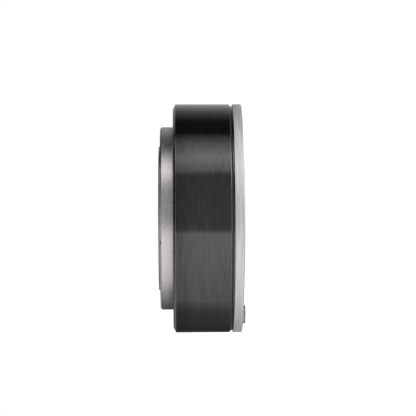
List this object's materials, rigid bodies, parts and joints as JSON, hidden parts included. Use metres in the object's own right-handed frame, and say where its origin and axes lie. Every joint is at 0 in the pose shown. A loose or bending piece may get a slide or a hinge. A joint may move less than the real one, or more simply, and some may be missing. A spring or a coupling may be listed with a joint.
{
  "type": "strain wave gear",
  "caption": "Flat strain wave gear with a built-in crossed roller bearing, flanged flexspline, geared output ring and an oval wave generator with a through bore.",
  "frame": {"origin": "centre of the housing bolt circle on the outer face of the flexspline's flange", "axes": "+Z along the gear's axis, from the flange towards the wave generator and the output face; +X along the wave generator's long diameter at rest"},
  "size_m": [0.07, 0.07, 0.026],
  "materials": {
    "black_oxide": "turned steel, black oxide finish, satin",
    "pin_steel": "ground steel pin, bare",
    "flange_steel": "ground alloy steel, fine matte silver",
    "screw_steel": "blackened alloy steel screw",
    "seal_rubber": "black nitrile rubber, matte",
    "spline_steel": "turned and phosphated steel, mid grey, fine circular marks",
    "race_steel": "hardened and ground bearing steel",
    "roller_steel": "polished bearing steel",
    "cage_resin": "moulded natural resin, satin",
    "cam_steel": "turned steel, bare, fine circular marks"
  },
  "bodies": {
    "housing_side": {"outer_ring": "black_oxide", "filling_plug": "black_oxide", "plug_pin": "pin_steel", "flexspline": "flange_steel", "flange_screws": "screw_steel", "flange_o_ring": "seal_rubber", "dust_seal": "seal_rubber"},
    "output_side": {"circular_spline": "spline_steel", "bearing_inner_ring": "race_steel", "spline_screws": "screw_steel", "dowel_pins": "pin_steel", "spline_o_ring": "seal_rubber"},
    "roller_train": {"cross_rollers": "roller_steel", "roller_spacers": "cage_resin"},
    "wave_generator": {"wave_cam": "cam_steel", "flex_inner_race": "race_steel", "flex_outer_race": "race_steel", "bearing_balls": "roller_steel", "ball_cage": "cage_resin", "retaining_plate": "cam_steel", "plate_screws": "screw_steel"}
  },
  "joints": [
    {"name": "wave_generator_spin", "type": "hinge", "parent": "housing_side", "child": "wave_generator", "pos_m": [0, 0, 0.02], "axis": [0, 0, 1], "continuous": true, "deforming": ["flexspline"]},
    {"name": "output_turn", "type": "hinge", "parent": "housing_side", "child": "output_side", "pos_m": [0, 0, 0.02], "axis": [0, 0, 1], "continuous": true},
    {"name": "roller_train_turn", "type": "hinge", "parent": "housing_side", "child": "roller_train", "pos_m": [0, 0, 0.01], "axis": [0, 0, 1], "continuous": true}
  ],
  "couplings": [
    {"joint": "output_turn", "follows": "wave_generator_spin", "ratio": 0.019608},
    {"joint": "roller_train_turn", "follows": "wave_generator_spin", "ratio": 0.0095555}
  ]
}
